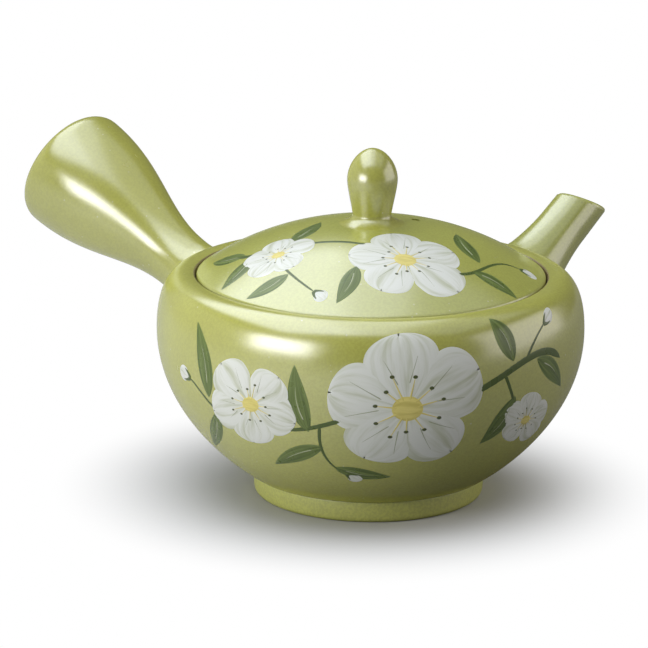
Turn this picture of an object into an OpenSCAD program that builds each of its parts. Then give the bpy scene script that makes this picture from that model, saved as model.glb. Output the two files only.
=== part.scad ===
// Side-handled teapot of smooth green clay, in millimetres, with +Z up.
// It stands on z = 0 and is turned about the Z axis. The spout points along +X, and the hollow handle
// stands out at the side, handle_turn degrees round from the spout. A domed lid drops into a sunk ledge.

/* [Foot] */
// Outer radius of the foot ring
foot_r = 32; // [27:0.5:36]
// Height of the foot ring
foot_h = 6.2; // [4:0.1:9]
// Width of the foot ring from its outside to its inside
foot_w = 5.5; // [3.5:0.5:10]
// Rounding of the edges that the pot stands on
foot_round = 1; // [0.4:0.1:1.5]

/* [Bowl] */
// Radius of the bowl at its widest place
belly_r = 58.6; // [54:0.2:66]
// Height of the widest place above the table
belly_z = 46.6; // [40:0.2:54]
// Thickness of the bowl's wall
bowl_wall = 3.2; // [2.4:0.1:4.5]
// Thickness of the bowl's floor
floor_t = 3.5; // [2.5:0.1:6]
// Step from the foot ring's outside to the start of the bowl's wall
foot_step = 0.8; // [0.2:0.1:2]
// How far the bowl's wall runs outwards before it starts to rise
wall_lead_out = 10.2; // [6:0.1:14]
// How far the bowl's wall rises over that run
wall_lead_up = 6.3; // [4:0.1:9]
// How far below the widest place the wall already runs upright
belly_pull = 19.6; // [12:0.2:24]

/* [Shoulder and lid seat] */
// Height of the shoulder's crest above the widest place
shoulder_h = 15.3; // [12:0.1:20]
// How far the shoulder's crest lies inside the widest place
shoulder_w = 8; // [7:0.1:10]
// How far above the widest place the shoulder still runs upright
shoulder_pull = 9.8; // [6:0.1:12]
// How far outside its crest the shoulder already runs level
crest_pull = 5.2; // [3:0.1:6.5]
// Width of the rim from its crest in to the lid seat
rim_w = 2.4; // [1.6:0.1:5]
// Fall of the rim from its crest to the lid seat
rim_drop = 0.3; // [0.2:0.1:1.2]
// Depth of the lid seat below the rim's inner edge
seat_depth = 3; // [2.4:0.1:5]
// Width of the ledge that the lid rests on
ledge_w = 4.7; // [3.5:0.1:8]
// Thickness of the ledge at the mouth
ledge_t = 3; // [2:0.1:4.5]
// Fall of the ledge's underside from the mouth out to the bowl's wall
ledge_fall = 2; // [0.5:0.1:4]

/* [Lid] */
// Gap between the lid's edge and the seat around it
lid_gap = 0.4; // [0.3:0.05:0.8]
// Rise of the dome from its edge to its top
dome_h = 14.4; // [8:0.1:20]
// Fullness of the dome, as the power of its curve: 2 is a plain bowl shape, and more is flatter on top
dome_power = 2.3; // [1.9:0.05:3]
// Thickness of the dome, measured upright
lid_t = 3; // [2.2:0.1:4]
// Rounding of the lid's upper edge
lid_round = 1.8; // [0.6:0.1:2.4]
// Depth of the locating flange below the ledge
flange_h = 7; // [4:0.1:10]
// Thickness of the locating flange
flange_t = 2.6; // [2:0.1:4]
// Gap between the flange and the mouth
flange_gap = 0.5; // [0.3:0.05:1]
// Radius of the steam hole
vent_r = 1.3; // [0.8:0.1:2]
// Distance of the steam hole from the lid's middle
vent_at = 13.6; // [12:0.1:28]
// Angle from the spout round to the steam hole, seen from above
vent_turn = -17; // [-180:1:180]

/* [Knob] */
// Height of the knob above the dome's top
knob_h = 20.5; // [15:0.1:26]
// Radius of the knob at its widest place
knob_r = 6.9; // [5.8:0.05:9]
// Depth of the widest place below the knob's top
knob_crown = 8.6; // [6:0.1:10]
// How far below its widest place the knob already runs upright
knob_pull = 2; // [1:0.1:4]
// Radius of the knob's neck
knob_neck_r = 5.3; // [4:0.05:5.7]
// Radius of the foot that spreads on to the dome
knob_foot_r = 9.5; // [7:0.1:11]
// Height over which that foot narrows to the neck
knob_foot_h = 2.4; // [1.8:0.1:6]

/* [Spout] */
// Angle of the spout above the level
spout_tilt = 36; // [28:0.5:42]
// Height of the spout's axis over the widest place, where it crosses the belly radius
spout_up = 0.3; // [-3:0.1:3]
// Length of the spout past the belly radius, along its axis
spout_len = 36; // [28:0.5:44]
// Outer radius of the spout at its neck
spout_neck_r = 7.45; // [6.5:0.05:9]
// Outer radius of the spout at its mouth
spout_mouth_r = 6.8; // [6:0.1:9]
// Distance of the neck past the belly radius, along the axis
spout_neck_at = 15.5; // [10:0.5:20]
// Length of the flare from the neck back into the bowl
spout_flare_len = 19; // [16:0.5:24]
// Growth of the spout's radius over that flare
spout_flare = 3.8; // [2:0.1:5]
// Radius of the bore through the spout
spout_bore_r = 4.8; // [3.8:0.1:5.2]
// Gap by which the hole in the bowl is wider than that bore
spout_hole_gap = 0.3; // [0.1:0.1:0.6]
// Slant of the mouth, with the lower lip the longer
spout_slant = 28; // [0:1:40]

/* [Strainer] */
// Radius of the pierced dome
strainer_r = 12.5; // [11.5:0.1:13.5]
// Distance of the dome's centre outside the bowl's inner wall
strainer_set = 4; // [3:0.1:5]
// Fall of the dome's centre below the spout's axis
strainer_drop = 3.2; // [2:0.1:4]
// Thickness of the dome
strainer_t = 1.8; // [1.4:0.1:2.4]
// Radius of each hole in the dome
strainer_hole_r = 0.9; // [0.6:0.05:1]
// Angle between one ring of holes and the next, seen from the dome's centre
strainer_step = 18; // [16:1:20]
// Number of rings of holes around the middle one
strainer_rings = 3; // [1:1:3]

/* [Handle] */
// Angle from the spout round to the handle, seen from above
handle_turn = 97; // [80:1:110]
// Angle of the handle above the level
handle_tilt = 27; // [18:0.5:32]
// Height of the handle's axis over the widest place, where it crosses the belly radius
handle_up = 3.1; // [-2:0.1:5]
// Length of the handle past the belly radius, along its axis
handle_len = 60; // [50:0.5:75]
// Outer radius of the handle at its neck
handle_neck_r = 8.55; // [7.5:0.05:10]
// Outer radius of the handle at its flared end
handle_end_r = 18; // [14:0.1:22]
// Distance of the neck past the belly radius, along the axis
handle_neck_at = 9.4; // [6:0.2:14]
// Length of the flare from the neck back into the bowl
handle_flare_len = 24; // [20:0.5:28]
// Growth of the handle's radius over that flare
handle_flare = 5.4; // [3:0.1:8]
// Rounding of the edge at the flared end
handle_round = 5; // [4:0.1:6.5]
// How far the neck runs straight into the flared part
handle_neck_pull = 15.5; // [10:0.5:20]
// How far the flared end runs straight before its rounding
handle_end_pull = 19.5; // [10:0.5:22]
// Thickness of the handle's wall
handle_wall = 2.8; // [2.2:0.1:3.4]
// Radius of the hole in the handle's end
handle_hole_r = 9.5; // [7:0.1:11]

/* [Hidden] */
$fn = 96;
// Steps along each curve of an outline
steps = 16;
// Steps along a short curve
short_steps = 8;
// Power of the curve by which a root flares out
flare_power = 2.2;
// Overshoot of a cut past the face that it opens
past = 1;

// Heights and radii of the bowl, from the foot up and from the belly in
floor_z = foot_h + floor_t;
crest_z = belly_z + shoulder_h;
rim_z = crest_z - rim_drop;
seat_z = rim_z - seat_depth;
ledge_z = seat_z - ledge_t;
crest_r = belly_r - shoulder_w;
seat_r = crest_r - rim_w;
mouth_r = seat_r - ledge_w;
// The lid, from the seat that holds it
lid_r = seat_r - lid_gap;
flange_r = mouth_r - flange_gap;
dome_top = rim_z + dome_h;
// The dome ends where its rounded edge starts, and the two would meet the lid's side at the corner
lid_round_r = lid_r - lid_round;
lid_corner_z = dome_at(lid_round_r) + dome_slope(lid_round_r) * lid_round;
// The knob, from the dome that it stands on
knob_top = dome_top + knob_h;
knob_wide_z = knob_top - knob_crown;
knob_neck_z = dome_top + knob_foot_h;
knob_foot_z = dome_at(knob_foot_r);
// Places along the spout's axis, counted from the pot's own axis
spout_z = belly_z + spout_up - belly_r * tan(spout_tilt);
spout_belly = belly_r / cos(spout_tilt);
spout_neck = spout_belly + spout_neck_at;
spout_end = spout_belly + spout_len;
spout_deep = spout_neck - 2 * spout_flare_len;
spout_hole_r = spout_bore_r + spout_hole_gap;
// The strainer, where the spout's axis crosses the bowl's inner wall
chamber_r = belly_r - bowl_wall;
strainer_z = spout_z + chamber_r * tan(spout_tilt) - strainer_drop;
// Places along the handle's axis, counted from the pot's own axis
handle_z = belly_z + handle_up - belly_r * tan(handle_tilt);
handle_belly = belly_r / cos(handle_tilt);
handle_neck = handle_belly + handle_neck_at;
handle_end = handle_belly + handle_len;
handle_shoulder = handle_end - handle_round;

clay = [0.60, 0.61, 0.34];
pale_clay = [0.55, 0.56, 0.31];
lid_clay = [0.63, 0.65, 0.38];

// Curves of the bowl's outside, as points of radius and height
wall_curve = [
    [foot_r + foot_step, foot_h],
    [foot_r + foot_step + wall_lead_out, foot_h + wall_lead_up],
    [belly_r, belly_z - belly_pull],
    [belly_r, belly_z],
];
shoulder_curve = [
    [belly_r, belly_z],
    [belly_r, belly_z + shoulder_pull],
    [crest_r + crest_pull, crest_z],
    [crest_r, crest_z],
];
rim_curve = [
    [crest_r, crest_z],
    [crest_r - rim_w / 2, crest_z],
    [seat_r + rim_w / 3, rim_z + rim_drop / 3],
    [seat_r, rim_z],
];
// Curve of the lid's edge, from its side over to the dome
lid_edge_curve = [
    [lid_r, lid_corner_z - lid_round],
    [lid_r, lid_corner_z - lid_round / 3],
    [lid_r - lid_round / 3, lid_corner_z - dome_slope(lid_round_r) * lid_round / 3],
    [lid_round_r, dome_at(lid_round_r)],
];
// Curve of the handle from its neck to its flared end, as points of radius and length
handle_curve = [
    [handle_neck_r, handle_neck],
    [handle_neck_r, handle_neck + handle_neck_pull],
    [handle_end_r, handle_shoulder - handle_end_pull],
    [handle_end_r, handle_shoulder],
];

// Height of the dome at a distance from its middle, and its slope there
function dome_at(r) = rim_z + dome_h * (1 - pow(r / lid_r, dome_power));
function dome_slope(r) = -dome_h * dome_power / lid_r * pow(r / lid_r, dome_power - 1);
// The dome from a radius in to its middle, moved down by a depth
function dome_curve(r, depth) = [for (i = [0 : steps]) let (x = r * (1 - i / steps)) [x, dome_at(x) - depth]];
// A point on a cubic curve with four control points, and the curve's direction there
function at(c, t) = pow(1 - t, 3) * c[0] + 3 * pow(1 - t, 2) * t * c[1] + 3 * (1 - t) * t * t * c[2]
    + pow(t, 3) * c[3];
function heading(c, t) = pow(1 - t, 2) * (c[1] - c[0]) + 2 * (1 - t) * t * (c[2] - c[1])
    + t * t * (c[3] - c[2]);
function to_left(v) = [-v[1], v[0]] / norm(v);
function curve(c, n) = [for (i = [0 : n]) at(c, i / n)];
// The same curve moved to its left, which is towards the axis on a curve that rises
function inset(c, n, d) = [for (i = [0 : n]) at(c, i / n) + d * to_left(heading(c, i / n))];
function arc(centre, r, a0, a1, n) = [
    for (i = [0 : n]) let (a = a0 + (a1 - a0) * i / n) centre + r * [cos(a), sin(a)]
];
function backwards(list) = [for (i = [len(list) - 1 : -1 : 0]) list[i]];
// A root that flares out by grow over its length, from its deep end to its neck
function flare(neck_r, neck, length, grow, n) = [
    for (i = [0 : n]) let (u = 1 - i / n) [neck_r + grow * pow(u, flare_power), neck - length * u]
];

// The bowl's full outside, and the space for the tea, as solids of revolution
module bowl_outline() {
    polygon(concat(
        [[0, foot_h]],
        curve(wall_curve, steps),
        curve(shoulder_curve, steps),
        curve(rim_curve, short_steps),
        [[0, rim_z]]
    ));
}

module chamber_outline() {
    wall = [for (p = inset(wall_curve, steps, bowl_wall)) if (p[1] > floor_z) p];
    top_z = ledge_z - ledge_fall;
    shoulder = [for (p = inset(shoulder_curve, steps, bowl_wall)) if (p[1] < top_z) p];
    polygon(concat([[0, floor_z]], wall, shoulder, [[mouth_r, ledge_z], [0, ledge_z]]));
}

// Frames whose Z axis runs along the spout and along the handle, and whose +X side is the lower one
module along_spout() {
    translate([0, 0, spout_z]) rotate([0, 90 - spout_tilt, 0]) children();
}

module along_handle() {
    rotate([0, 0, handle_turn]) translate([0, 0, handle_z]) rotate([0, 90 - handle_tilt, 0]) children();
}

module pot_body() {
    color(clay) difference() {
        rotate_extrude() difference() {
            bowl_outline();
            chamber_outline();
            translate([0, ledge_z - past]) square([mouth_r, seat_depth + ledge_t + past]);
            translate([0, seat_z]) square([seat_r, seat_depth + rim_drop + past]);
        }
        along_spout() translate([0, 0, spout_belly - strainer_r]) cylinder(r = spout_hole_r, h = spout_len);
    }
}

module foot_ring() {
    inner_r = foot_r - foot_w;
    color(pale_clay) rotate_extrude() union() {
        translate([inner_r, foot_round]) square([foot_w, foot_h - foot_round]);
        translate([inner_r + foot_round, 0]) square([foot_w - 2 * foot_round, foot_h]);
        translate([inner_r + foot_round, foot_round]) circle(r = foot_round);
        translate([foot_r - foot_round, foot_round]) circle(r = foot_round);
    }
}

module spout() {
    reach = 4 * spout_mouth_r;
    color(clay) difference() {
        along_spout() difference() {
            rotate_extrude() polygon(concat(
                [[0, spout_deep], [spout_neck_r + spout_flare, spout_deep]],
                flare(spout_neck_r, spout_neck, spout_flare_len, spout_flare, short_steps),
                [[spout_mouth_r, spout_end + spout_mouth_r], [0, spout_end + spout_mouth_r]]
            ));
            translate([0, 0, spout_deep]) cylinder(r = spout_bore_r, h = 2 * spout_end);
            translate([0, 0, spout_end]) rotate([0, -spout_slant, 0])
                translate([-reach, -reach, 0]) cube(2 * reach);
        }
        rotate_extrude() bowl_outline();
    }
}

module handle() {
    root = flare(handle_neck_r, handle_neck, handle_flare_len, handle_flare, short_steps);
    bend = [handle_end_r - handle_round, handle_shoulder];
    lip_r = handle_wall / 2;
    lip = [handle_hole_r + lip_r, handle_end - lip_r];
    section = concat(
        [for (p = root) if (p[1] < handle_neck) p],
        curve(handle_curve, steps),
        arc(bend, handle_round, 0, 90, short_steps),
        arc(lip, lip_r, 90, 270, short_steps),
        arc(bend, handle_round - handle_wall, 90, 0, short_steps),
        backwards(inset(handle_curve, steps, handle_wall)),
        backwards([for (p = root) if (p[1] < handle_neck) p - [handle_wall, 0]])
    );
    color(clay) difference() {
        along_handle() rotate_extrude() polygon(section);
        rotate_extrude() bowl_outline();
    }
}

// Frame at the strainer's centre, whose Z axis points from the spout into the bowl
module at_strainer() {
    translate([chamber_r + strainer_set, 0, strainer_z]) rotate([0, -90, 0]) children();
}

module strainer() {
    color(clay) difference() {
        intersection() {
            at_strainer() rotate_extrude() difference() {
                intersection() {
                    circle(r = strainer_r);
                    square(strainer_r);
                }
                circle(r = strainer_r - strainer_t);
            }
            rotate_extrude() chamber_outline();
        }
        at_strainer() for (ring = [0 : strainer_rings]) {
            holes = max(1, 6 * ring);
            for (i = [1 : holes]) {
                rotate([0, strainer_step * ring, 360 * (i - 0.5) / holes])
                    translate([0, 0, strainer_r - strainer_t - past])
                        cylinder(r = strainer_hole_r, h = strainer_t + 2 * past, $fn = 24);
            }
        }
    }
}

// Everything below the lid's upper face
module lid_outline() {
    polygon(concat(
        [[0, seat_z], [lid_r, seat_z]],
        curve(lid_edge_curve, short_steps),
        dome_curve(lid_round_r, 0)
    ));
}

module lid() {
    hollow_r = flange_r - flange_t;
    flange_z = seat_z - flange_h;
    color(lid_clay) difference() {
        rotate_extrude() difference() {
            union() {
                lid_outline();
                translate([hollow_r, flange_z]) square([flange_t, flange_h + past]);
            }
            polygon(concat([[0, flange_z - past], [hollow_r, flange_z - past]], dome_curve(hollow_r, lid_t)));
        }
        rotate([0, 0, vent_turn]) translate([vent_at, 0, seat_z])
            cylinder(r = vent_r, h = dome_top - seat_z, $fn = 24);
    }
}

module knob() {
    // The knob tapers straight down from its widest place to its neck, and the foot starts on the same line
    taper = [knob_r - knob_neck_r, knob_wide_z - knob_neck_z] / 3;
    foot_curve = [
        [knob_foot_r, knob_foot_z],
        [(knob_foot_r + knob_neck_r) / 2, knob_foot_z + knob_foot_h / 8],
        [knob_neck_r, knob_neck_z] - taper * knob_foot_h / taper[1] / 2,
        [knob_neck_r, knob_neck_z],
    ];
    neck_curve = [
        [knob_neck_r, knob_neck_z],
        [knob_neck_r, knob_neck_z] + taper,
        [knob_r, knob_wide_z - knob_pull],
        [knob_r, knob_wide_z],
    ];
    crown_curve = [
        [knob_r, knob_wide_z],
        [knob_r, knob_wide_z + knob_crown / 2],
        [knob_r / 2, knob_top],
        [0, knob_top],
    ];
    color(lid_clay) rotate_extrude() difference() {
        polygon(concat(
            [[0, knob_foot_z], [knob_foot_r, knob_foot_z]],
            curve(foot_curve, short_steps),
            curve(neck_curve, short_steps),
            curve(crown_curve, short_steps)
        ));
        lid_outline();
    }
}

pot_body();
foot_ring();
spout();
handle();
strainer();
lid();
knob();
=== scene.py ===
"""Looks of a side-handled clay teapot: turned skins, luted spout and handle, and a painted spray.

Sizes are in metres, in the part's own frame: +Z runs up the turning axis, and +X points towards the spout.
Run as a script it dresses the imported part, and its panel in the sidebar lists the same steps.
"""

import math
from collections import namedtuple

import bmesh
import bpy
import numpy as np
from mathutils import Matrix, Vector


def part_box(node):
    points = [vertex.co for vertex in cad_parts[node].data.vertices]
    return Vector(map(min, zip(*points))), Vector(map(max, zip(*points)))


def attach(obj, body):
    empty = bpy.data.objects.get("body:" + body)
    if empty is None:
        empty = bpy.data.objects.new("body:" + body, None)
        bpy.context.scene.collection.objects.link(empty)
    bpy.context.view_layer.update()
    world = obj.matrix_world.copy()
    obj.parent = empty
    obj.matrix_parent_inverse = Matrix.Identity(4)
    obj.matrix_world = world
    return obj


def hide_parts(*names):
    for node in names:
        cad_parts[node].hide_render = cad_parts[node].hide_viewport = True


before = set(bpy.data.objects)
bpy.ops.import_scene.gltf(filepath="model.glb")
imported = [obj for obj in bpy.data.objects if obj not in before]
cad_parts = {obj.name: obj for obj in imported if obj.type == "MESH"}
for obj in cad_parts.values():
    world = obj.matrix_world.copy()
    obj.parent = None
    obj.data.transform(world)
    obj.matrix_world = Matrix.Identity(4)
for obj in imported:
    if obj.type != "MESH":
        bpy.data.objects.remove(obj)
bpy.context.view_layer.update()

bl_info = {
    "name": "Side-handled teapot",
    "version": (1, 0, 0),
    "blender": (4, 5, 0),
    "location": "3D View > Sidebar > Teapot",
    "description": "Dresses the teapot with turned clay skins, glaze-like satin clay and a painted spray",
    "category": "Object",
}

MM = 0.001
POT_LOW, POT_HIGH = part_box("pot_body")
FOOT_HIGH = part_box("foot_ring")[1]
LID_LOW, LID_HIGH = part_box("lid")
KNOB_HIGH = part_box("knob")[1]

# Fineness of the skins: columns round a turned piece, columns round a limb, and rows along one curve
TURNED_COLUMNS = 288
LIMB_COLUMNS = 160
ROWS = 36
SHORT_ROWS = 10
# Samples of the bowl's outside that other pieces are set against
OUTSIDE_SAMPLES = 1600
# Columns and rows of one brush stroke
STROKE_COLUMNS = 24
STROKE_ROWS = 40
# Heights of the enamels in millimetres: what is laid later lies higher
TWIG_LIFT = 0.032
LEAF_LIFT = 0.045
PETAL_LIFT = 0.075
VEIN_LIFT = 0.10
MIDDLE_LIFT = 0.13
# Step by which each stroke's random share differs from the last one's
GOLDEN = 0.618
# Petals of a blossom, and its stamens
PETALS, STAMENS = 5, 11
# How far the edge of a luted or painted piece is sunk into the clay that carries it
SINK = 0.04 * MM
# Points that are closer than this count as one
MERGE = 0.001 * MM
# Faces that meet at a larger angle than this keep a true edge
SHARP_EDGE = math.radians(50)
# Columns round a drilled hole, and how far its drill reaches on both sides of the bowl's skin
HOLE_COLUMNS = 64
DRILL_REACH = 14 * MM
# Side of the square picture in pixels, and width of the camera's sensor in millimetres
PICTURE = 648
SENSOR = 36.0
# Turn of the camera in degrees, and the angle at which the pot's front faces it
CAMERA_TURN = 46.05
FRONT = math.radians(-90 - CAMERA_TURN)
# The level ways to the picture's left and to the camera, and the way up
LEFT_WAY = np.array([math.sin(FRONT), -math.cos(FRONT), 0])
NEAR_WAY = np.array([math.cos(FRONT), math.sin(FRONT), 0])
UP_WAY = np.array([0, 0, 1.0])


# Properties


def size(name, description, metres):
    """A length that the user may change."""
    return bpy.props.FloatProperty(
        name=name, description=description, default=metres, unit="LENGTH", precision=5
    )


def turn(name, description, degrees):
    """An angle that the user may change."""
    return bpy.props.FloatProperty(
        name=name, description=description, default=math.radians(degrees), unit="ROTATION"
    )


def share(name, description, default):
    """A plain number that the user may change."""
    return bpy.props.FloatProperty(name=name, description=description, default=default, precision=3)


def tone(name, description, colour):
    """A linear colour that the user may change."""
    return bpy.props.FloatVectorProperty(
        name=name, description=description, default=colour, subtype="COLOR", size=3, min=0, max=1
    )


class BowlSizes(bpy.types.PropertyGroup):
    """Sizes of the bowl, its shoulder and its lid seat"""

    belly_r: size("Belly radius", "Radius of the bowl at its widest place", -POT_LOW.x)
    belly_z: size("Belly height", "Height of the widest place", 46.6 * MM)
    wall: size("Wall", "Thickness of the bowl's wall", 3.2 * MM)
    floor: size("Floor", "Thickness of the bowl's floor", 3.5 * MM)
    foot_step: size("Step", "Step from the foot ring out to the bowl's wall", 0.8 * MM)
    lead_out: size("Lead out", "Run of the wall outwards before it starts to rise", 10.2 * MM)
    lead_up: size("Lead up", "Rise of the wall over that run", 6.3 * MM)
    belly_pull: size("Belly pull", "Depth below the widest place where the wall runs upright", 19.6 * MM)
    crest_z: size("Crest height", "Height of the shoulder's crest", POT_HIGH.z)
    shoulder_w: size("Shoulder width", "Width from the widest place in to the crest", 8.0 * MM)
    shoulder_pull: size("Shoulder pull", "Rise above the widest place that still runs upright", 9.8 * MM)
    crest_pull: size("Crest pull", "Width outside the crest that already runs level", 5.2 * MM)
    rim_w: size("Rim width", "Width of the rim from its crest in to the seat", 2.4 * MM)
    rim_drop: size("Rim drop", "Fall of the rim from its crest to the seat", 0.3 * MM)
    rim_round: size("Rim rounding", "Rounding of the rim's inner edge", 0.45 * MM)
    seat_depth: size("Seat depth", "Depth of the lid seat below the rim", 3.0 * MM)
    ledge_w: size("Ledge width", "Width of the ledge that the lid rests on", 4.7 * MM)
    ledge_t: size("Ledge thickness", "Thickness of the ledge at the mouth", 3.0 * MM)
    ledge_fall: size("Ledge fall", "Fall of the ledge's underside out to the wall", 2.0 * MM)
    edge: size("Edge rounding", "Rounding of the edges inside the mouth", 0.5 * MM)


class FootSizes(bpy.types.PropertyGroup):
    """Sizes of the foot ring"""

    r: size("Radius", "Outer radius of the foot ring", FOOT_HIGH.x)
    h: size("Height", "Height of the foot ring", FOOT_HIGH.z)
    w: size("Width", "Width of the foot ring", 5.5 * MM)
    low_round: size("Lower rounding", "Rounding of the outer edge that meets the table", 1.6 * MM)
    top_round: size("Upper rounding", "Rounding of the outer edge under the bowl", 0.7 * MM)
    draw_in: size("Draw in", "How far the ring draws in towards the table", 0.5 * MM)


class LidSizes(bpy.types.PropertyGroup):
    """Sizes of the lid"""

    r: size("Radius", "Radius of the lid's edge", LID_HIGH.x)
    top: size("Top", "Height of the dome's top", LID_HIGH.z)
    rise: size("Rise", "Rise of the dome from its edge to its top", 14.4 * MM)
    power: share("Fullness", "Power of the dome's curve", 2.3)
    thick: size("Thickness", "Thickness of the dome, measured upright", 3.0 * MM)
    edge_round: size("Edge rounding", "Rounding of the lid's upper edge", 0.7 * MM)
    flange_r: size("Flange radius", "Outer radius of the locating flange", 43.0 * MM)
    flange_t: size("Flange thickness", "Thickness of the locating flange", 2.6 * MM)
    flange_low: size("Flange foot", "Height of the flange's lower edge", LID_LOW.z)
    fine_round: size("Fine rounding", "Rounding of the flange's edges", 0.6 * MM)
    vent_r: size("Vent radius", "Radius of the steam hole", 1.3 * MM)
    vent_at: size("Vent place", "Distance of the steam hole from the lid's middle", 13.6 * MM)
    vent_turn: turn("Vent turn", "Angle from the spout round to the steam hole", -17.0)


class KnobSizes(bpy.types.PropertyGroup):
    """Sizes of the knob"""

    top: size("Top", "Height of the knob's top", KNOB_HIGH.z)
    r: size("Radius", "Radius of the knob at its widest place", 6.9 * MM)
    crown: size("Crown", "Depth of the widest place below the top", 8.6 * MM)
    pull: size("Pull", "Depth below the widest place that already runs upright", 2.0 * MM)
    neck_r: size("Neck radius", "Radius of the neck", 5.3 * MM)
    foot_r: size("Foot radius", "Radius of the foot that spreads on to the dome", KNOB_HIGH.x)
    foot_h: size("Foot height", "Height over which the foot narrows to the neck", 2.4 * MM)


class SpoutSizes(bpy.types.PropertyGroup):
    """Sizes of the spout"""

    turn: turn("Turn", "Angle of the spout round the pot", 0.0)
    tilt: turn("Tilt", "Angle of the spout above the level", 36.0)
    up: size("Up", "Height of the axis over the widest place at the belly radius", 0.3 * MM)
    length: size("Length", "Length past the belly radius", 36.0 * MM)
    neck_r: size("Neck radius", "Outer radius at the neck", 7.1 * MM)
    mouth_r: size("Mouth radius", "Outer radius at the mouth", 6.8 * MM)
    neck_at: size("Neck place", "Distance of the neck past the belly radius", 26.0 * MM)
    flare_len: size("Flare length", "Length of the flare from the neck into the bowl", 30.0 * MM)
    flare: size("Flare", "Growth of the radius over the flare", 6.2 * MM)
    power: share("Flare power", "Power of the curve by which the root flares out", 1.85)
    bore_r: size("Bore radius", "Radius of the bore", 4.8 * MM)
    hole_gap: size("Hole gap", "Gap by which the bowl's hole is wider than the bore", 0.3 * MM)
    slant: turn("Slant", "Slant of the mouth, with the lower lip the longer", 28.0)
    out_top: size("Blend out, top", "Reach of the root's blend along the spout, on top", 7.0 * MM)
    out_low: size("Blend out, below", "Reach of the root's blend along the spout, below", 9.0 * MM)
    on_top: size("Blend on bowl, top", "Reach of the root's blend over the bowl, on top", 3.0 * MM)
    on_low: size("Blend on bowl, below", "Reach of the root's blend over the bowl, below", 7.0 * MM)


class HandleSizes(bpy.types.PropertyGroup):
    """Sizes of the handle"""

    turn: turn("Turn", "Angle of the handle round the pot from the spout", 97.0)
    tilt: turn("Tilt", "Angle of the handle above the level", 27.0)
    up: size("Up", "Height of the axis over the widest place at the belly radius", 3.1 * MM)
    length: size("Length", "Length past the belly radius", 60.0 * MM)
    neck_r: size("Neck radius", "Outer radius at the neck", 8.55 * MM)
    end_r: size("End radius", "Outer radius at the flared end", 18.0 * MM)
    neck_at: size("Neck place", "Distance of the neck past the belly radius", 9.4 * MM)
    flare_len: size("Flare length", "Length of the flare from the neck into the bowl", 24.0 * MM)
    flare: size("Flare", "Growth of the radius over the flare", 5.4 * MM)
    power: share("Flare power", "Power of the curve by which the root flares out", 2.2)
    end_round: size("End rounding", "Rounding of the edge at the flared end", 5.0 * MM)
    neck_pull: size("Neck pull", "Run of the neck straight into the flared part", 15.5 * MM)
    end_pull: size("End pull", "Run of the flared end before its rounding", 19.5 * MM)
    wall: size("Wall", "Thickness of the handle's wall", 2.8 * MM)
    hole_r: size("Hole radius", "Radius of the hole in the end", 9.5 * MM)
    out_top: size("Blend out, top", "Reach of the root's blend along the handle, on top", 5.0 * MM)
    out_low: size("Blend out, below", "Reach of the root's blend along the handle, below", 7.0 * MM)
    on_top: size("Blend on bowl, top", "Reach of the root's blend over the bowl, on top", 2.4 * MM)
    on_low: size("Blend on bowl, below", "Reach of the root's blend over the bowl, below", 7.0 * MM)


class ClayColours(bpy.types.PropertyGroup):
    """Colours of the clay and the paint"""

    clay: tone("Clay", "Satin green clay", (0.398, 0.396, 0.066))
    lid: tone("Lid", "Greener clay of the lid and the spout", (0.392, 0.404, 0.074))
    foot: tone("Foot", "Bare clay of the foot ring", (0.52, 0.535, 0.10))
    speck: tone("Speck", "Pale grains in the clay", (0.62, 0.60, 0.36))
    # Painted shade: the seat colour darkens and browns the clay in the recess of the lid seat, where shade
    # falls
    seat: tone("Seat", "Browner clay where lid and seat rub", (0.24, 0.17, 0.08))
    white: tone("White", "White enamel where it lies thick", (0.70, 0.71, 0.65))
    thin_white: tone("Thin white", "White enamel where the clay shows through", (0.45, 0.47, 0.32))
    shade: tone("Shade", "Grey green of the petals' veins", (0.26, 0.28, 0.17))
    yellow: tone("Yellow", "Yellow enamel where it lies thick", (0.74, 0.64, 0.20))
    thin_yellow: tone("Thin yellow", "Yellow enamel where it lies thin", (0.58, 0.49, 0.12))
    leaf: tone("Leaf", "Green enamel where it lies thick", (0.075, 0.112, 0.020))
    thin_leaf: tone("Thin leaf", "Green enamel where the clay shows through", (0.18, 0.235, 0.06))
    bark: tone("Bark", "Dark enamel of the twigs", (0.075, 0.108, 0.022))
    vein: tone("Vein", "Dark lines drawn with a fine brush", (0.060, 0.045, 0.020))


class StageSettings(bpy.types.PropertyGroup):
    """Camera and light"""

    distance: size("Distance", "Distance of the camera from the point it is set by", 1020 * MM)
    target_z: size("Target height", "Height of that point on the turning axis", 45 * MM)
    azimuth: turn("Azimuth", "Turn of the camera from the side opposite the handle", CAMERA_TURN)
    elevation: turn("Elevation", "Height of the camera above the level", 15.04)
    roll: turn("Roll", "Roll of the camera", 0.78)
    focal: share("Focal length", "Focal length in pixels of the picture", 3716.0)
    aside: share("Aside", "Pixels by which the target stands right of the middle", 46.35)
    below: share("Below", "Pixels by which the target stands below the middle", 7.70)
    ambient: share("Ambient", "Strength of the even light", 0.10)


GROUPS = {
    "teapot_bowl": BowlSizes,
    "teapot_foot": FootSizes,
    "teapot_lid": LidSizes,
    "teapot_knob": KnobSizes,
    "teapot_spout": SpoutSizes,
    "teapot_handle": HandleSizes,
    "teapot_colours": ClayColours,
    "teapot_stage": StageSettings,
}


# Curves of radius and height


def curve(points, rows=ROWS):
    """A cubic curve with four control points: each point's share is the usual cubic weight at t."""
    t = np.linspace(0, 1, rows + 1)[:, None]
    a, b, c, d = np.asarray(points, float)
    return (1 - t) ** 3 * a + 3 * (1 - t) ** 2 * t * b + 3 * (1 - t) * t**2 * c + t**3 * d


def arc(centre, r, start, end, rows=SHORT_ROWS):
    """Points on a circle round a centre, from one angle in degrees to another."""
    a = np.radians(np.linspace(start, end, rows + 1))
    return np.asarray(centre) + r * np.stack([np.cos(a), np.sin(a)], 1)


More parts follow.
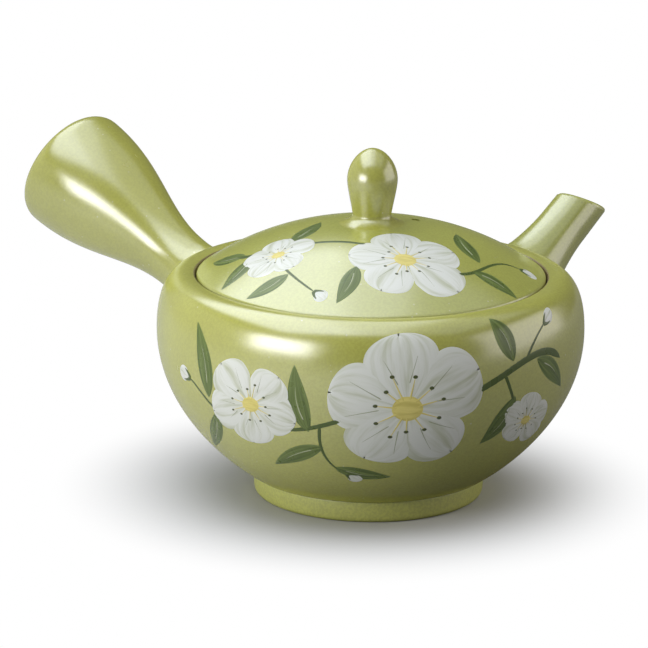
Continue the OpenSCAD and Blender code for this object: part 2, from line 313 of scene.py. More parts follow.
def corner(before, at, after, r, rows=SHORT_ROWS):
    """A corner rounded by a quadratic curve that starts and ends r from it, along its two sides."""
    before, at, after = (np.asarray(p, float) for p in (before, at, after))
    start = at + r * (before - at) / np.linalg.norm(before - at)
    end = at + r * (after - at) / np.linalg.norm(after - at)
    t = np.linspace(0, 1, rows + 1)[:, None]
    return (1 - t) ** 2 * start + 2 * (1 - t) * t * at + t**2 * end


def headings(points):
    """Unit directions along a row of points."""
    step = np.gradient(points, axis=0)
    return step / np.linalg.norm(step, axis=1, keepdims=True)


def inset(points, depth):
    """A curve that rises on the outside, moved in by a depth along its own normals."""
    along = headings(points)
    return points + depth * np.stack([-along[:, 1], along[:, 0]], 1)


def join(*parts):
    """Several stretches as one row of points, with the doubles where they meet left out."""
    points = np.concatenate([np.atleast_2d(np.asarray(p, float)) for p in parts])
    keep = np.r_[True, np.linalg.norm(np.diff(points, axis=0), axis=1) > MERGE]
    return points[keep]


# Meshes


def spin(profile, columns=TURNED_COLUMNS):
    """A profile of radius r and height z carried round the Z axis: (r cos a, r sin a, z)."""
    a = np.linspace(0, 2 * math.pi, columns, endpoint=False)
    r, z = profile[:, 0, None], profile[:, 1, None]
    return np.stack([r * np.cos(a), r * np.sin(a), z + 0 * a], -1)


def faces_of(rows, columns, looped):
    """Quads of a grid whose columns close on themselves, and whose rows do too where it is looped."""
    i = np.arange(rows if looped else rows - 1)[:, None]
    j = np.arange(columns)[None, :]
    above = (i + 1) % rows
    beside = (j + 1) % columns
    corners = (i * columns + j, i * columns + beside, above * columns + beside, above * columns + j)
    return np.stack(np.broadcast_arrays(*corners), -1).reshape(-1, 4)


def skin(name, grids, material, looped=False, marks=None):
    """One object from grids of points; marks are each point's place along and across its brush stroke."""
    points = np.concatenate([g.reshape(-1, 3) for g in grids])
    starts = np.cumsum([0] + [g.shape[0] * g.shape[1] for g in grids[:-1]])
    faces = np.concatenate([faces_of(g.shape[0], g.shape[1], looped) + s for g, s in zip(grids, starts)])
    mesh = bpy.data.meshes.new(name)
    mesh.from_pydata(points.tolist(), [], faces.tolist())
    if marks is not None:
        stroke = mesh.attributes.new("stroke", "FLOAT_VECTOR", "POINT")
        stroke.data.foreach_set("vector", np.concatenate([m.reshape(-1) for m in marks]))
    close(mesh)
    mesh.materials.append(material)
    piece = bpy.data.objects.new(name, mesh)
    bpy.context.scene.collection.objects.link(piece)
    return piece


def close(mesh):
    """Merges the doubles at seams and poles, and shades the mesh smooth apart from its true edges."""
    work = bmesh.new()
    work.from_mesh(mesh)
    bmesh.ops.remove_doubles(work, verts=work.verts, dist=MERGE / 10)
    bmesh.ops.dissolve_degenerate(work, dist=MERGE / 10, edges=work.edges)
    work.to_mesh(mesh)
    work.free()
    mesh.polygons.foreach_set("use_smooth", np.ones(len(mesh.polygons), bool))
    mesh.set_sharp_from_angle(angle=SHARP_EDGE)


def drill(piece, start, end, r):
    """Bores a round hole through a piece from one point to another."""
    start, end = np.asarray(start, float), np.asarray(end, float)
    along = (end - start) / np.linalg.norm(end - start)
    side = np.cross(along, [0, 1, 0]) if abs(along[1]) < 0.9 else np.cross(along, [1, 0, 0])
    side /= np.linalg.norm(side)
    a = np.linspace(0, 2 * math.pi, HOLE_COLUMNS, endpoint=False)[:, None]
    ring = r * (np.cos(a) * side + np.sin(a) * np.cross(along, side))
    grid = np.stack([start + 0 * ring, start + ring, end + ring, end + 0 * ring])
    cutter = skin("cutter", [grid], piece.data.materials[0])
    cut = piece.modifiers.new("hole", "BOOLEAN")
    cut.object = cutter
    cut.solver = "MANIFOLD"
    depsgraph = bpy.context.evaluated_depsgraph_get()
    bored = bpy.data.meshes.new_from_object(piece.evaluated_get(depsgraph))
    piece.modifiers.clear()
    whole = piece.data
    piece.data = bored
    bored.name = piece.name
    bpy.data.meshes.remove(whole)
    bpy.data.objects.remove(cutter)
    piece.data.set_sharp_from_angle(angle=SHARP_EDGE)


# The bowl's outside, and limbs luted on to it


def bowl_curves(bowl, foot):
    """The wall from the foot to the belly, the shoulder to its crest, and the rim to the lid seat."""
    root_r = foot.r + bowl.foot_step
    crest_r = bowl.belly_r - bowl.shoulder_w
    seat_r = crest_r - bowl.rim_w
    rim_z = bowl.crest_z - bowl.rim_drop
    wall = [
        [root_r, foot.h],
        [root_r + bowl.lead_out, foot.h + bowl.lead_up],
        [bowl.belly_r, bowl.belly_z - bowl.belly_pull],
        [bowl.belly_r, bowl.belly_z],
    ]
    shoulder = [
        [bowl.belly_r, bowl.belly_z],
        [bowl.belly_r, bowl.belly_z + bowl.shoulder_pull],
        [crest_r + bowl.crest_pull, bowl.crest_z],
        [crest_r, bowl.crest_z],
    ]
    rim = [
        [crest_r, bowl.crest_z],
        [crest_r - bowl.rim_w / 2, bowl.crest_z],
        [seat_r + bowl.rim_w / 3, rim_z + bowl.rim_drop / 3],
        [seat_r, rim_z],
    ]
    return wall, shoulder, rim


def bowl_outside(bowl, foot):
    """The bowl's outside from the foot up to its crest, finely sampled, for other pieces to sit on."""
    wall, shoulder, _ = bowl_curves(bowl, foot)
    return join(curve(wall, OUTSIDE_SAMPLES), curve(shoulder, OUTSIDE_SAMPLES))


def seat_height(bowl):
    """Height of the ledge that the lid rests on."""
    return bowl.crest_z - bowl.rim_drop - bowl.seat_depth


Axis = namedtuple("Axis", "origin along low side")


def axis_of(limb, bowl):
    """The line that a spout or a handle is turned on, with its lower side and its side along the bowl."""
    out = np.array([math.cos(limb.turn), math.sin(limb.turn), 0])
    foot = bowl.belly_z + limb.up - bowl.belly_r * math.tan(limb.tilt)
    return Axis(
        foot * UP_WAY,
        math.cos(limb.tilt) * out + math.sin(limb.tilt) * UP_WAY,
        math.sin(limb.tilt) * out - math.cos(limb.tilt) * UP_WAY,
        np.array([-out[1], out[0], 0]),
    )


def place(axis, s, r, a):
    """Points at a length s along an axis, r from it, at an angle a round from its lower side."""
    s, r, a = (v[..., None] for v in np.broadcast_arrays(s, r, a))
    return axis.origin + s * axis.along + r * (np.cos(a) * axis.low + np.sin(a) * axis.side)


def flare_at(limb, neck):
    """Radius along a root: the neck's, plus the flare times a power of the way back from the neck."""
    return lambda s: limb.neck_r + limb.flare * np.clip((neck - s) / limb.flare_len, 0, 1) ** limb.power


def meeting(axis, radius_at, a, reach, outside):
    """Length along the axis at which each line of a limb's skin last comes out of the bowl."""
    s = np.linspace(reach[0], reach[1], OUTSIDE_SAMPLES)
    p = place(axis, s[None], radius_at(s)[None], a[:, None])
    bowl_r = np.interp(p[..., 2], outside[:, 1], outside[:, 0], right=0)
    gap = np.hypot(p[..., 0], p[..., 1]) - bowl_r
    last = len(s) - 2 - np.argmax(gap[:, -2::-1] <= 0, axis=1)
    row = np.arange(len(a))
    before, after = gap[row, last], gap[row, last + 1]
    return s[last] + before / (before - after) * (s[1] - s[0])


def settle(p, outside, sink):
    """The points of the bowl's outside nearest to given points, sunk a little into the clay."""
    r = np.hypot(p[:, 0], p[:, 1])
    near = np.argmin((r[:, None] - outside[:, 0]) ** 2 + (p[:, 2, None] - outside[:, 1]) ** 2, axis=1)
    along = headings(outside)[near]
    q = outside[near] - sink * np.stack([along[:, 1], -along[:, 0]], 1)
    return np.stack([q[:, 0] * p[:, 0] / r, q[:, 0] * p[:, 1] / r, q[:, 1]], 1)


def root_skin(limb, axis, a, neck, outside):
    """The luted root: a quadratic blend from the bowl's skin on to the limb, then the flare to the neck."""
    radius_at = flare_at(limb, neck)
    start = meeting(axis, radius_at, a, (neck - 2 * limb.flare_len, neck + limb.flare_len), outside)
    low = (1 + np.cos(a)) / 2
    out = limb.out_top + (limb.out_low - limb.out_top) * low
    over = limb.on_top + (limb.on_low - limb.on_top) * low
    crease = place(axis, start, radius_at(start), a)
    on_limb = place(axis, start + out, radius_at(start + out), a)
    skin_up = settle(crease, outside, -MM) - settle(crease, outside, 0)
    normal = skin_up / np.linalg.norm(skin_up, axis=1, keepdims=True)
    away = np.cos(a)[:, None] * axis.low + np.sin(a)[:, None] * axis.side
    away -= np.sum(away * normal, 1, keepdims=True) * normal
    away /= np.linalg.norm(away, axis=1, keepdims=True)
    on_bowl = settle(crease + over[:, None] * away, outside, SINK)
    t = np.linspace(0, 1, ROWS + 1)[:, None, None]
    blend = (1 - t) ** 2 * on_bowl + 2 * (1 - t) * t * crease + t**2 * on_limb
    s = (start + out) + t[1:, :, 0] * (neck - start - out)
    return np.concatenate([blend, place(axis, s, radius_at(s), a[None])])


def round_angles():
    """Angles round a limb, from its lower side."""
    return np.linspace(0, 2 * math.pi, LIMB_COLUMNS, endpoint=False)


# The pieces' shapes


def bowl_profile(bowl, foot):
    """The bowl as one closed outline: underside, outside, rim, seat, ledge, inside and floor."""
    wall, shoulder, rim = bowl_curves(bowl, foot)
    crest_r = bowl.belly_r - bowl.shoulder_w
    seat_r = crest_r - bowl.rim_w
    mouth_r = seat_r - bowl.ledge_w
    seat_z = seat_height(bowl)
    ledge_z = seat_z - bowl.ledge_t
    floor_z = foot.h + bowl.floor
    outside = join(curve(wall), curve(shoulder))
    lip = curve(rim, SHORT_ROWS)
    lip = lip[lip[:, 0] > seat_r + bowl.rim_round]
    inner_wall = inset(curve(wall), bowl.wall)
    inner_wall = inner_wall[inner_wall[:, 1] > floor_z]
    inner_top = inset(curve(shoulder), bowl.wall)
    inner_top = inner_top[inner_top[:, 1] < ledge_z - bowl.ledge_fall]
    rim_edge, seat_in = [seat_r, rim[3][1]], [seat_r, seat_z]
    mouth_top, mouth_low = [mouth_r, seat_z], [mouth_r, ledge_z]
    return join(
        [0, foot.h],
        outside,
        lip,
        corner(lip[-1], rim_edge, seat_in, bowl.rim_round),
        corner(rim_edge, seat_in, mouth_top, bowl.edge),
        corner(seat_in, mouth_top, mouth_low, bowl.edge),
        corner(mouth_top, mouth_low, inner_top[-1], bowl.edge),
        inner_top[::-1],
        inner_wall[::-1],
        [0, floor_z],
    )


def foot_profile(foot):
    """The foot ring's section, drawn in a little towards the table, with rounded outer edges."""
    inner = foot.r - foot.w
    low_in, low_out = [inner, 0], [foot.r - foot.draw_in, 0]
    top_out, top_in = [foot.r, foot.h], [inner, foot.h]
    return join(
        corner(top_in, low_in, low_out, foot.top_round),
        corner(low_in, low_out, top_out, foot.low_round),
        corner(low_out, top_out, top_in, foot.top_round),
        [top_in],
    )


def dome_at(lid, r):
    """Height of the dome: its top less the rise times a power of the share of the lid's radius."""
    return lid.top - lid.rise * (np.asarray(r) / lid.r) ** lid.power


def lid_profile(lid, seat_z):
    """The lid as one outline: hollow, flange, seat, rounded edge and dome."""
    hollow_r = lid.flange_r - lid.flange_t
    round_r = lid.r - lid.edge_round
    round_z = float(dome_at(lid, round_r))
    slope = -lid.rise * lid.power / lid.r * (round_r / lid.r) ** (lid.power - 1)
    corner_z = round_z + slope * lid.edge_round
    edge = [
        [lid.r, corner_z - lid.edge_round],
        [lid.r, corner_z - lid.edge_round / 3],
        [lid.r - lid.edge_round / 3, corner_z - slope * lid.edge_round / 3],
        [round_r, round_z],
    ]
    under_r = np.linspace(0, hollow_r, ROWS)
    over_r = np.linspace(round_r, 0, 2 * ROWS)
    under = np.stack([under_r, dome_at(lid, under_r) - lid.thick], 1)
    over = np.stack([over_r, dome_at(lid, over_r)], 1)
    flange_in, flange_out = [hollow_r, lid.flange_low], [lid.flange_r, lid.flange_low]
    seat_in, seat_out = [lid.flange_r, seat_z], [lid.r, seat_z]
    return join(
        under,
        corner(under[-1], flange_in, flange_out, lid.fine_round),
        corner(flange_in, flange_out, seat_in, lid.fine_round),
        [seat_in],
        corner(seat_in, seat_out, edge[0], lid.fine_round),
        curve(edge, SHORT_ROWS),
        over,
    )


def knob_profile(knob, lid):
    """The knob from the dome that it stands on: soft foot, straight taper and egg-shaped crown."""
    foot_z = float(dome_at(lid, knob.foot_r))
    wide_z = knob.top - knob.crown
    root = np.array([knob.neck_r, lid.top + knob.foot_h])
    taper = (np.array([knob.r, wide_z]) - root) / 3
    half_way = (knob.foot_r + knob.neck_r) / 2
    foot = [
        [knob.foot_r, foot_z - SINK],
        [half_way, float(dome_at(lid, half_way)) + SINK],
        root - taper * knob.foot_h / taper[1] / 2,
        root,
    ]
    neck = [root, root + taper, [knob.r, wide_z - knob.pull], [knob.r, wide_z]]
    crown = [[knob.r, wide_z], [knob.r, wide_z + knob.crown / 2], [knob.r / 2, knob.top], [0, knob.top]]
    under_r = np.linspace(0, knob.foot_r, SHORT_ROWS)
    under = np.stack([under_r, dome_at(lid, under_r) - SINK], 1)
    return join(under, curve(foot), curve(neck), curve(crown))


def spout_grid(spout, bowl, outside):
    """Rows from the bowl's skin over the blend, root and barrel, round the lip and back down the bore."""
    axis, a = axis_of(spout, bowl), round_angles()
    belly = bowl.belly_r / math.cos(spout.tilt)
    neck, end = belly + spout.neck_at, belly + spout.length
    root = root_skin(spout, axis, a, neck, outside)
    half = (spout.mouth_r - spout.bore_r) / 2
    lean = math.tan(spout.slant) * np.cos(a)
    mouth = end + spout.mouth_r * lean - half
    t = np.linspace(0, 1, ROWS + 1)[1:, None]
    s = neck + t * (mouth - neck)
    taper = (s - neck) / (end + spout.mouth_r - neck)
    barrel = place(axis, s, spout.neck_r + (spout.mouth_r - spout.neck_r) * taper, a)
    swing = np.linspace(0, math.pi, 2 * SHORT_ROWS + 1)[1:, None]
    lip_r = (spout.mouth_r + spout.bore_r) / 2 + half * np.cos(swing)
    lip = place(axis, end + lip_r * lean - half + half * np.sin(swing), lip_r, a)
    reach = (neck - 2 * spout.flare_len, neck)
    inner = meeting(axis, lambda v: spout.bore_r + 0 * v, a, reach, outside)
    bore_end = end + spout.bore_r * lean - half
    bore = place(axis, bore_end + t * (inner - SINK - bore_end), spout.bore_r, a)
    return np.concatenate([root, barrel, lip, bore])


def handle_grid(handle, bowl, outside):
    """Rows from the bowl's skin over the blend, root and flare, round the end's lip and back inside."""
    axis, a = axis_of(handle, bowl), round_angles()
    belly = bowl.belly_r / math.cos(handle.tilt)
    neck, end = belly + handle.neck_at, belly + handle.length
    shoulder = end - handle.end_round
    root = root_skin(handle, axis, a, neck, outside)
    flared = curve([
        [handle.neck_r, neck],
        [handle.neck_r, neck + handle.neck_pull],
        [handle.end_r, shoulder - handle.end_pull],
        [handle.end_r, shoulder],
    ], 2 * ROWS)
    bend = [handle.end_r - handle.end_round, shoulder]
    half = handle.wall / 2
    lip = [handle.hole_r + half, end - half]
    shell = join(
        flared[1:],
        arc(bend, handle.end_round, 0, 90),
        arc(lip, half, 90, 270),
        arc(bend, handle.end_round - handle.wall, 90, 0),
        inset(flared, handle.wall)[::-1],
    )
    shell_grid = place(axis, shell[:, 1, None], shell[:, 0, None], a[None])
    radius_at = flare_at(handle, neck)
    hollow_at = lambda v: radius_at(v) - handle.wall
    inner = meeting(axis, hollow_at, a, (neck - 2 * handle.flare_len, neck), outside)
    t = np.linspace(0, 1, ROWS + 1)[1:, None]
    s = neck + t * (inner - SINK - neck)
    return np.concatenate([root, shell_grid, place(axis, s, hollow_at(s), a[None])])


# Finishes


# Repeats a metre of the clay's patterns: drift of tone, polish, orange peel, specks and grain
DRIFT, POLISH, PEEL, SPECKS, GRAIN = 38.0, 90.0, 330.0, 700.0, 1500.0
PEEL_DEPTH, GRAIN_DEPTH = 0.012 * MM, 0.002 * MM
# Stretches of the noise that drift, grain and polish are read from
DRIFT_NOISE, GRAIN_NOISE, POLISH_NOISE = (0.25, 0.75), (0.36, 0.64), (0.2, 0.8)
# Least and most that the slow drift dims and lifts the clay's tone
DRIFT_LEAST, DRIFT_MOST = 0.95, 1.05
# Random values from which on a cell holds a speck, a speck's edge in shares of its cell, and its cover
SPECK_RARE, SPECK_EDGE, SPECK_COVER = (0.95, 0.97), (0.10, 0.24), 0.5
# Roughness of the satin and of the bare clay, how far it varies, and how far grain lifts and dims each clay
SATIN, BARE, POLISH_DRIFT = 0.25, 0.5, 0.025
SATIN_GRAIN, BARE_GRAIN = 0.055, 0.09
CLAY_IOR, ENAMEL_IOR = 2.4, 1.5
# How far outside the seat's radius its painted shade fades, and how far below the seat it starts
SEAT_FADE, SEAT_DEPTH = (0.1 * MM, 0.6 * MM), 0.5 * MM
# Streaks across and along a brush stroke, how far apart two strokes' streaks are read, and their depth
STREAKS_ACROSS, STREAKS_ALONG, STREAK_SHIFT = 4.5, 1.6, 37.0
STREAK_DEPTH = 0.012 * MM
# Width of the change from thin to thick enamel, and the repeats a metre and the reach of its polish
THINNER, THICKER = 0.22, 0.18
ENAMEL_POLISH, ENAMEL_DRIFT = 300.0, 0.05


class Finish:
    """A procedural material: nodes are made by type, with their inputs set or linked by name."""

    def __init__(self, name):
        self.material = bpy.data.materials.new(name)
        self.material.use_nodes = True
        self.tree = self.material.node_tree
        self.tree.nodes.clear()

    def put(self, socket, value):
        """Links another node's output to a socket, or sets the socket's own value."""
        if isinstance(value, bpy.types.NodeSocket):
            self.tree.links.new(value, socket)
        else:
            socket.default_value = value

    def node(self, kind, settings=None, **inputs):
        """A node of a kind; inputs are named with _ for a space, or i0, i1 and so on by their number."""
        made = self.tree.nodes.new("ShaderNode" + kind)
        for key, value in (settings or {}).items():
            setattr(made, key, value)
        for key, value in inputs.items():
            named = key.replace("_", " ")
            self.put(made.inputs[int(key[1:]) if key[1:].isdigit() else named], value)
        return made

    def maths(self, operation, first, second=0.0):
        """One calculation with two numbers."""
        return self.node("Math", {"operation": operation}, i0=first, i1=second).outputs[0]

    def measure(self, operation, first, second=(0, 0, 0)):
        """One number from two vectors, such as their distance or dot product."""
        return self.node("VectorMath", {"operation": operation}, i0=first, i1=second).outputs["Value"]

    def noise(self, where, scale, detail=2.0):
        """Soft noise from 0 to 1."""
        return self.node("TexNoise", Vector=where, Scale=scale, Detail=detail).outputs[0]

    def span(self, value, low, high, to_low=0.0, to_high=1.0):
        """A number eased from one range to another, and held at its ends."""
        settings = {"interpolation_type": "SMOOTHSTEP"}
        inputs = {"Value": value, "From_Min": low, "From_Max": high, "To_Min": to_low, "To_Max": to_high}
        return self.node("MapRange", settings, **inputs).outputs[0]

    def mix(self, factor, first, second, blend="MIX"):
        """Two colours mixed by a factor."""
        made = self.node("Mix", {"data_type": "RGBA", "blend_type": blend}, i0=factor)
        for socket, value in ((made.inputs[6], first), (made.inputs[7], second)):
            self.put(socket, (*value, 1) if isinstance(value, tuple) else value)
        return made.outputs[2]

    def scaled(self, colour, factor):
        """A colour made lighter or darker by a factor that varies over the surface."""
        grey = self.node("CombineColor", Red=factor, Green=factor, Blue=factor).outputs[0]
        return self.mix(1.0, colour, grey, "MULTIPLY")

    def bump(self, height, distance, under=None):
        """A normal bent by a height, on top of another bump where one is given."""
        inputs = {"Height": height, "Distance": distance, "Strength": 1.0}
        if under is not None:
            inputs["Normal"] = under
        return self.node("Bump", **inputs).outputs[0]

    def shader(self, **inputs):
        """The finished material, with the main shader's inputs."""
        shader = self.node("BsdfPrincipled", **inputs)
        self.node("OutputMaterial", Surface=shader.outputs[0])
        return self.material


def clay_finish(name, colours, body, roughness, grain, seat=None):
    """Satin clay: slow drift of tone, fine grain, pale specks and a faint orange-peel skin.

    Where a seat is given by its radius and height, painted shade makes the clay above it and inside it
    darker and browner.
    """
    made = Finish(name)
    where = made.node("TexCoord").outputs["Object"]
    drift = made.span(made.noise(where, DRIFT, 3.0), *DRIFT_NOISE, DRIFT_LEAST, DRIFT_MOST)
    grain_noise = made.noise(where, GRAIN, 3.0)
    fine = made.span(grain_noise, *GRAIN_NOISE, 1 - grain, 1 + grain)
    cells = made.node("TexVoronoi", Vector=where, Scale=SPECKS)
    chosen = made.span(made.node("SeparateColor", Color=cells.outputs["Color"]).outputs[0], *SPECK_RARE)
    spot = made.span(cells.outputs["Distance"], *SPECK_EDGE, 1.0, 0.0)
    speck = made.maths("MULTIPLY", made.maths("MULTIPLY", chosen, spot), SPECK_COVER)
    ground = tuple(body)
    # Painted shade: inside the seat's radius and from just below its ledge upwards, the clay is mixed
    # towards the darker, browner seat colour
    if seat:
        radius, height = seat
        parts = made.node("SeparateXYZ", Vector=where).outputs
        across = made.measure("LENGTH", made.node("CombineXYZ", X=parts[0], Y=parts[1]).outputs[0])
        inside = made.span(across, radius + SEAT_FADE[0], radius + SEAT_FADE[1], 1.0, 0.0)
        above = made.span(parts[2], height - SEAT_DEPTH, height)
        ground = made.mix(made.maths("MULTIPLY", inside, above), ground, tuple(colours.seat))
    base = made.scaled(ground, made.maths("MULTIPLY", drift, fine))
    colour = made.mix(speck, base, tuple(colours.speck))
    polish = made.noise(where, POLISH, 4.0)
    rough = made.span(polish, *POLISH_NOISE, roughness - POLISH_DRIFT, roughness + POLISH_DRIFT)
    peel = made.bump(made.noise(where, PEEL, 2.0), PEEL_DEPTH)
    skin_bump = made.bump(grain_noise, GRAIN_DEPTH, peel)
    return made.shader(Base_Color=colour, Roughness=rough, Normal=skin_bump, IOR=CLAY_IOR)


def paint_finish(name, thin, thick, roughness, body=0.5):
    """Enamel laid with a brush: streaks along the stroke mix its thin and thick colours."""
    made = Finish(name)
    stroke = made.node("Attribute", {"attribute_name": "stroke"}).outputs["Vector"]
    parts = made.node("SeparateXYZ", Vector=stroke).outputs
    across = made.maths("MULTIPLY", parts[1], STREAKS_ACROSS)
    along = made.maths("MULTIPLY", parts[0], STREAKS_ALONG)
    shifted = made.maths("ADD", across, made.maths("MULTIPLY", parts[2], STREAK_SHIFT))
    where = made.node("CombineXYZ", X=shifted, Y=along, Z=parts[2]).outputs[0]
    streak = made.noise(where, 1.0, 4.0)
    cover = made.span(streak, body - THINNER, body + THICKER)
    colour = made.mix(cover, tuple(thin), tuple(thick))
    polish = made.noise(made.node("TexCoord").outputs["Object"], ENAMEL_POLISH, 2.0)
    rough = made.span(polish, *POLISH_NOISE, roughness - ENAMEL_DRIFT, roughness + ENAMEL_DRIFT)
    ridges = made.bump(streak, STREAK_DEPTH)
    return made.shader(Base_Color=colour, Roughness=rough, Normal=ridges, IOR=ENAMEL_IOR)


def clay(context, name):
    """One of the clays, made once: the bowl's has painted shade, darker and browner, in the recess of the
    lid seat.
    """
    colours, bowl = context.scene.teapot_colours, context.scene.teapot_bowl
    seat = (bowl.belly_r - bowl.shoulder_w - bowl.rim_w, seat_height(bowl))
    recipes = {
        "satin_clay": (colours.clay, SATIN, SATIN_GRAIN),
        "bowl_clay_seat_shade": (colours.clay, SATIN, SATIN_GRAIN, seat),
        "lid_clay": (colours.lid, SATIN, SATIN_GRAIN),
        "bare_clay": (colours.foot, BARE, BARE_GRAIN),
    }
    return bpy.data.materials.get(name) or clay_finish(name, colours, *recipes[name])


def paints(context):
    """The enamels, each made once."""
    c = context.scene.teapot_colours
    recipes = {
        "white": (c.thin_white, c.white, 0.34, 0.42),
        "shade": (c.thin_white, c.shade, 0.34, 0.5),
        "yellow": (c.thin_yellow, c.yellow, 0.36, 0.5),
        "leaf": (c.thin_leaf, c.leaf, 0.30, 0.50),
        "rib": (c.thin_leaf, c.thin_white, 0.34, 0.40),
        "bark": (c.leaf, c.bark, 0.30, 0.45),
        "vein": (c.vein, c.bark, 0.34, 0.5),
    }
    return {
        name: bpy.data.materials.get(name + "_enamel") or paint_finish(name + "_enamel", *recipe)
        for name, recipe in recipes.items()
    }


# Brushwork


def on_bowl(bowl, foot):
    """A flat sheet wrapped on the bowl's front: across is a length round, up a length along the outline."""
    outside = bowl_outside(bowl, foot)
    lengths = np.r_[0, np.cumsum(np.linalg.norm(np.diff(outside, axis=0), axis=1))]
    lengths -= lengths[np.argmin(np.abs(outside[:, 1] - bowl.belly_z))]
    heading = headings(outside)

    def wrap(flat, height):
        r, z, out_r, out_z = (
            np.interp(flat[..., 1], lengths, values)
            for values in (outside[:, 0], outside[:, 1], heading[:, 1], -heading[:, 0])
        )
        a = FRONT + flat[..., 0] / r
        r, z = r + height * out_r, z + height * out_z
        return np.stack([r * np.cos(a), r * np.sin(a), z], -1)

    return wrap


def on_lid(lid):
    """A flat sheet dropped on the dome: across runs to the picture's right, up runs away from the camera."""

    def wrap(flat, height):
        p = -flat[..., :1] * LEFT_WAY[:2] - flat[..., 1:] * NEAR_WAY[:2]
        r = np.linalg.norm(p, axis=-1)
        return np.concatenate([p, (dome_at(lid, r) + height)[..., None]], -1)

    return wrap


def brush(centre, half_width, lift, seed, dent=0.0):
    """One stroke: a low flat-topped section carried along a line, as wide on each side as half_width.

    The brush's hairs leave two sets of ridges, set by the seed, and a dent notches the stroke's tip.
    """
    along = np.linspace(0, 1, len(centre))
    heading = headings(centre)
    across = np.stack([-heading[:, 1], heading[:, 0]], 1)
    swing = np.linspace(0, 2 * math.pi, STROKE_COLUMNS, endpoint=False)
    b, rise = np.cos(swing), np.sin(swing)
    flat = centre[:, None] + half_width[:, None, None] * b[None, :, None] * across[:, None]
    notch = dent * np.exp(-((b / 0.3) ** 2))[None] * along[:, None] ** 8
    flat = flat - notch[..., None] * heading[:, None]
    hairs = 1 + 0.14 * np.sin(9 * b + 40 * seed) + 0.09 * np.sin(17 * b + 90 * seed)
    section = np.where(rise > 0, lift * (1 - b**4) * hairs, -SINK * np.abs(rise))
    full = np.sqrt(half_width / half_width.max())
    marks = np.broadcast_arrays(along[:, None], b[None], np.float64(seed))
    return flat, full[:, None] * section[None], np.stack(marks, -1)


def bezier_line(points, rows=STROKE_ROWS):
    """A line drawn by its flat control points in millimetres, with its ends more finely stepped."""
    t = ((1 - np.cos(np.linspace(0, math.pi, rows + 1))) / 2)[:, None]
    p = np.asarray(points, float) * MM
    while len(p) > 1:
        p = [(1 - t) * first + t * second for first, second in zip(p[:-1], p[1:])]
    return p[0]


def egg(along, wide_at):
    """Width of an egg-shaped stroke: two half ellipses that meet at its widest place."""
    back, front = along / wide_at, (1 - along) / (1 - wide_at)
    u = np.where(along < wide_at, back, front)
    return np.sqrt(np.clip(1 - (1 - u) ** 2, 0, 1))


def steps_along(centre):
    """Share of the whole length at each point of a line."""
    lengths = np.r_[0, np.cumsum(np.linalg.norm(np.diff(centre, axis=0), axis=1))]
    return lengths / lengths[-1]


